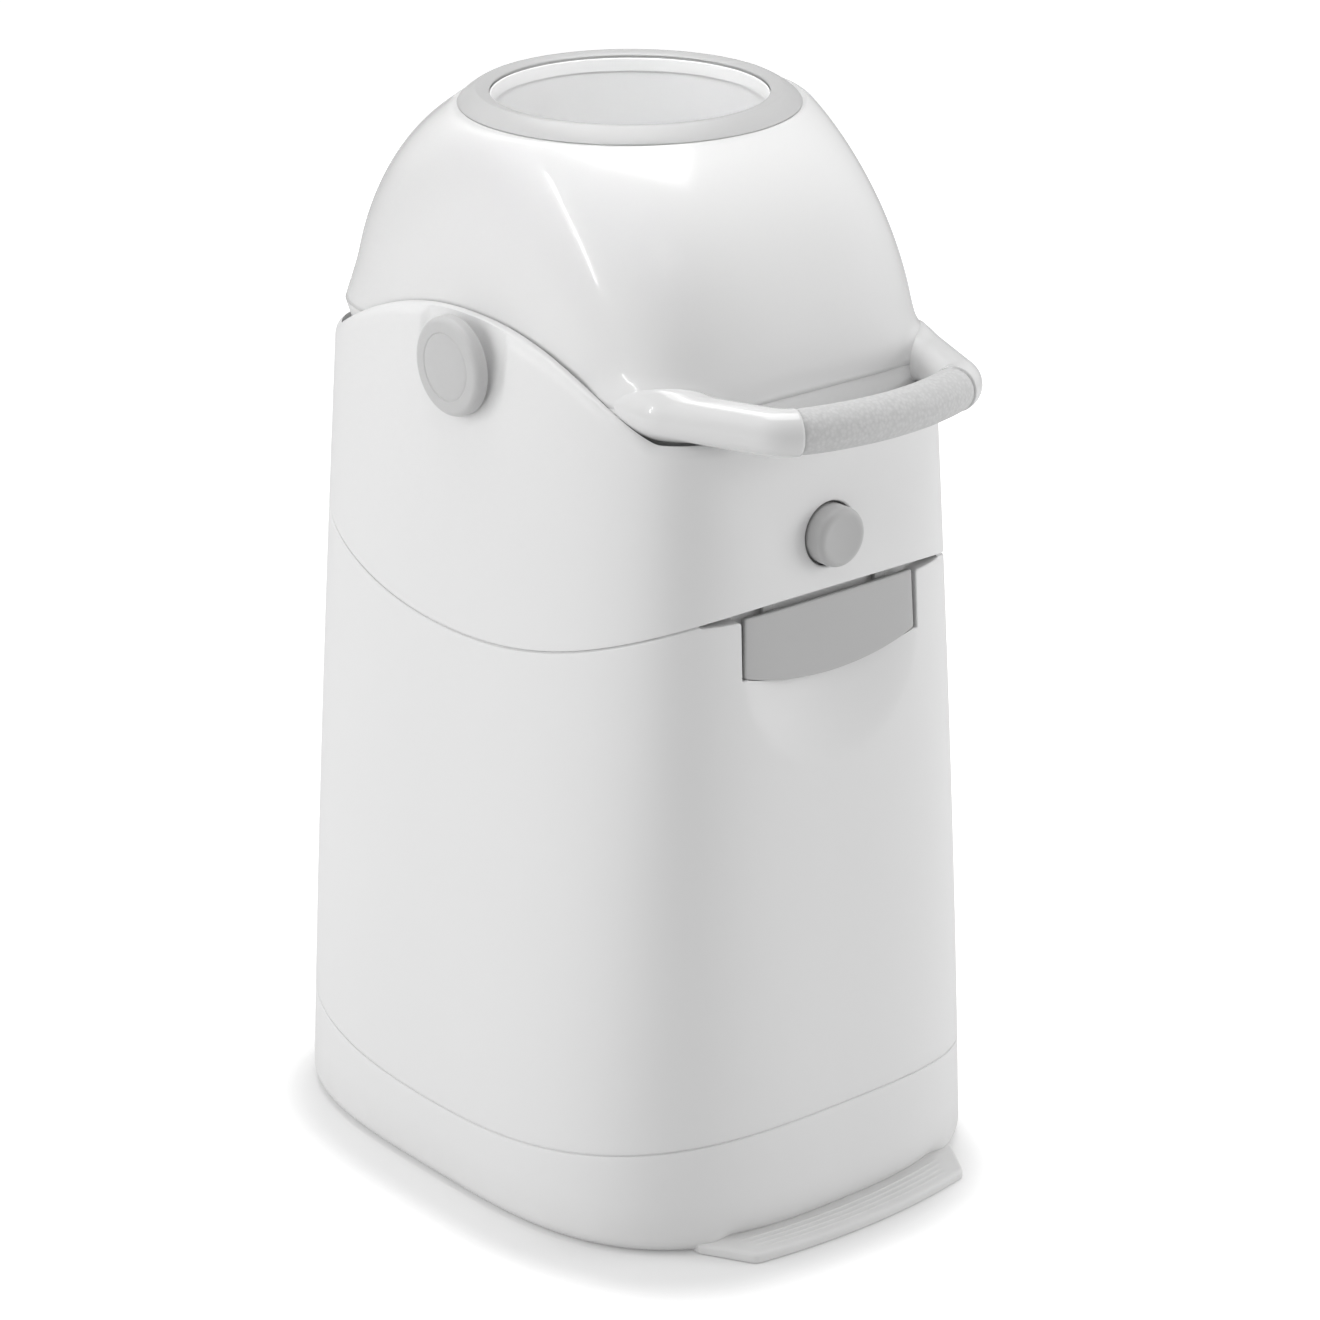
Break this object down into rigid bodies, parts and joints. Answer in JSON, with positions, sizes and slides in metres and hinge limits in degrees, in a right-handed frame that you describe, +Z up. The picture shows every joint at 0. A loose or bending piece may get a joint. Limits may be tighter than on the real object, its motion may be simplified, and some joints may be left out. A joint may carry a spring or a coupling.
{
  "type": "nappy bin",
  "caption": "Tall rounded bin with a turning drum, a bow handle that tips it, a front lock button, a latch flap and a foot plate.",
  "frame": {"origin": "on the floor under the middle of the bin, in the plinth's underside", "axes": "+Z up; the front, with the handle, button, latch and foot plate, faces -Y; the drum turns about the X direction"},
  "size_m": [0.311, 0.4221, 0.6235],
  "materials": {
    "body_white": "gloss moulded shell",
    "drum_white": "gloss moulded dome",
    "inner_white": "satin inner moulding",
    "ring_grey": "satin ring",
    "accent_grey": "satin light grey",
    "grip_grey": "soft speckled grip",
    "piston_grey": "satin piston",
    "dark_rubber": "matt rubber",
    "steel": "plain steel"
  },
  "bodies": {
    "bin": {"base_plinth": "body_white", "foot_plate": "body_white", "foot_screws": "steel", "rubber_feet": "dark_rubber", "bin_body": "body_white", "rim_seal": "dark_rubber", "hinge_pin": "steel"},
    "head": {"head_housing": "body_white", "drum_cradle": "inner_white", "drop_collar": "dark_rubber", "button_retainer": "inner_white", "latch_pin": "steel", "button_spring": "steel"},
    "drum": {"drum_shell_top": "drum_white", "drum_shell_bottom": "drum_white", "chute_tube": "inner_white", "ring_top": "ring_grey", "ring_bottom": "ring_grey", "trunnion_left": "inner_white", "trunnion_right": "inner_white", "cap_left": "accent_grey", "cap_right": "accent_grey", "handle_frame": "drum_white", "grip": "grip_grey"},
    "piston": {"piston": "piston_grey", "piston_seals": "dark_rubber"},
    "button": {"lock_button": "accent_grey"},
    "latch": {"latch_flap": "accent_grey"}
  },
  "joints": [
    {"name": "head_hinge", "type": "hinge", "parent": "bin", "child": "head", "pos_m": [0, 0.18146, 0.37391], "axis": [-1, 0, 0], "range_deg": [0, 95]},
    {"name": "drum_turn", "type": "hinge", "parent": "head", "child": "drum", "pos_m": [0, 0, 0.4875], "axis": [-1, 0, 0], "range_deg": [0, 180]},
    {"name": "piston_fall", "type": "slide", "parent": "drum", "child": "piston", "axis": [0, 0, 1], "range_m": [0, 0.212]},
    {"name": "button_press", "type": "slide", "parent": "head", "child": "button", "axis": [0, 1, 0], "range_m": [0, 0.004], "stiffness_N_per_m": 300, "springref_m": -0.003, "deforming": ["button_spring"]},
    {"name": "latch_lift", "type": "hinge", "parent": "head", "child": "latch", "pos_m": [0, -0.16436, 0.38091], "axis": [-1, 0, 0], "range_deg": [0, 14]}
  ]
}
